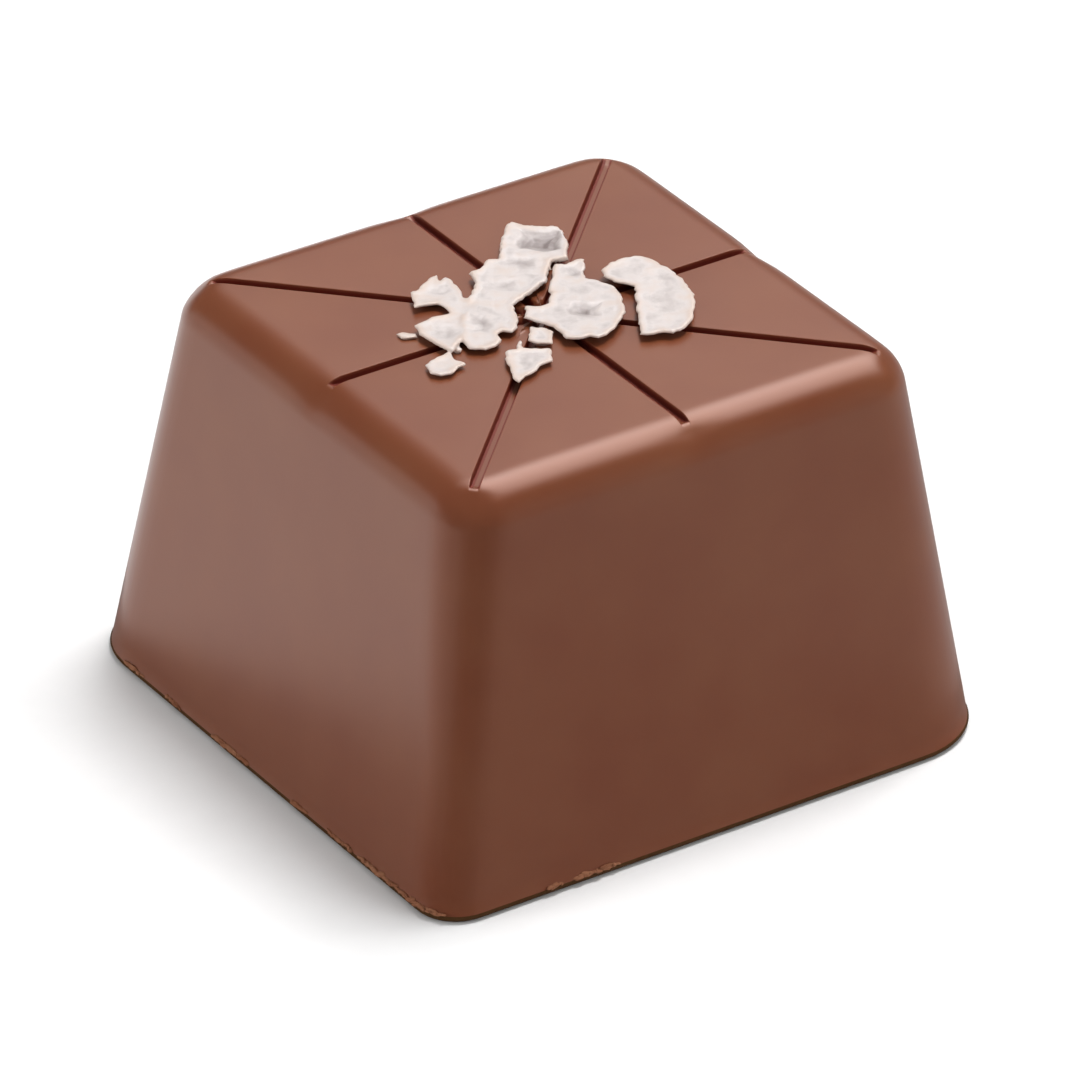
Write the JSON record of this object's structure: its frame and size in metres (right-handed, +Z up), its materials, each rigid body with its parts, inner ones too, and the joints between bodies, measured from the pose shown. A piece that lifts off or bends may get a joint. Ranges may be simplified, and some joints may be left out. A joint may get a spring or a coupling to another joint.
{
  "type": "salted caramel candy",
  "caption": "Square moulded milk chocolate piece that narrows to a flat top, with grooves radiating from its middle under a cluster of broken sea salt flakes.",
  "frame": {"origin": "middle of the flat base that the candy rests on", "axes": "+Z up through the grooved top; X and Y square to the four sides, with the most sharply rounded upright corner towards -X -Y"},
  "size_m": [0.028, 0.028, 0.0181],
  "materials": {
    "chocolate": "moulded milk chocolate, satin",
    "salt": "translucent white sea salt crystal"
  },
  "bodies": {
    "root": {"candy": "chocolate"}
  },
  "joints": []
}
